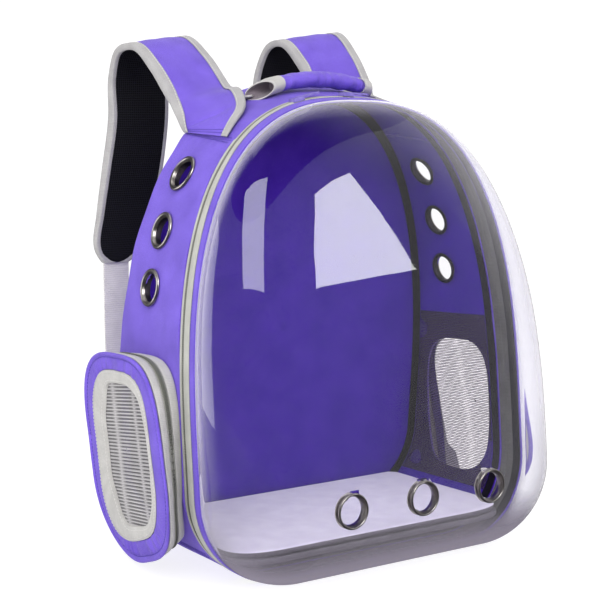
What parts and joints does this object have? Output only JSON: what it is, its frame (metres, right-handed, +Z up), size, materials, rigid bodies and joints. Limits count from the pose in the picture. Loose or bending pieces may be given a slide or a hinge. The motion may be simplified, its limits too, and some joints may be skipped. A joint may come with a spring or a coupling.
{
  "type": "pet carrier backpack",
  "caption": "Soft violet backpack for carrying a small pet, with a clear bubble front, ringed air vents, mesh side pouches, a carry handle and padded shoulder straps.",
  "frame": {"origin": "middle of the base, on the surface that the bag stands on", "axes": "+Z up, the clear front faces -Y, +X to the right as the front is seen"},
  "size_m": [0.4002, 0.3483, 0.4724],
  "materials": {
    "violet": "bright violet woven polyester with a fine grain and a soft sheen",
    "grey": "pale warm grey binding and webbing tape",
    "zip": "grey coil zip on pale grey tape",
    "black": "black binding tape and ribbed black air mesh",
    "metal": "dark nickel plate",
    "clear": "clear glossy moulded sheet",
    "mat": "pale short plush",
    "board": "dark grey covered board",
    "mesh": "pale grey knitted mesh with fine cross stripes",
    "dark_mesh": "dark open mesh"
  },
  "bodies": {
    "root": {"base_panel": "violet", "top_panel": "violet", "side_panel_left": "violet", "side_panel_right": "violet", "back_panel": "violet", "front_border": "violet", "zip_slider_left": "violet", "zip_slider_right": "violet", "handle_grip": "violet", "back_binding": "black", "rim_binding_front": "black", "rim_binding_rear": "black", "front_zip": "zip", "clear_dome": "clear", "floor_board": "board", "floor_mat": "mat", "dome_eyelet_1": "metal", "side_eyelet_left_1": "metal", "side_eyelet_right_1": "metal", "dome_eyelet_2": "metal", "side_eyelet_left_2": "metal", "side_eyelet_right_2": "metal", "dome_eyelet_3": "metal", "side_eyelet_left_3": "metal", "side_eyelet_right_3": "metal", "pouch_left_band_rear": "grey", "pouch_left_zip": "zip", "pouch_left_band_front": "grey", "pouch_left_panel": "violet", "pouch_left_window_binding": "grey", "pouch_left_window_mesh": "mesh", "side_mesh_left": "dark_mesh", "handle_cuff_left": "grey", "handle_tab_left": "grey", "strap_left_pad": "violet", "strap_left_lining": "black", "strap_left_binding_outer": "grey", "strap_left_binding_inner": "grey", "strap_left_webbing": "grey", "pouch_right_band_rear": "grey", "pouch_right_zip": "zip", "pouch_right_band_front": "grey", "pouch_right_panel": "violet", "pouch_right_window_binding": "grey", "pouch_right_window_mesh": "mesh", "side_mesh_right": "dark_mesh", "handle_cuff_right": "grey", "handle_tab_right": "grey", "strap_right_pad": "violet", "strap_right_lining": "black", "strap_right_binding_outer": "grey", "strap_right_binding_inner": "grey", "strap_right_webbing": "grey"}
  },
  "joints": []
}
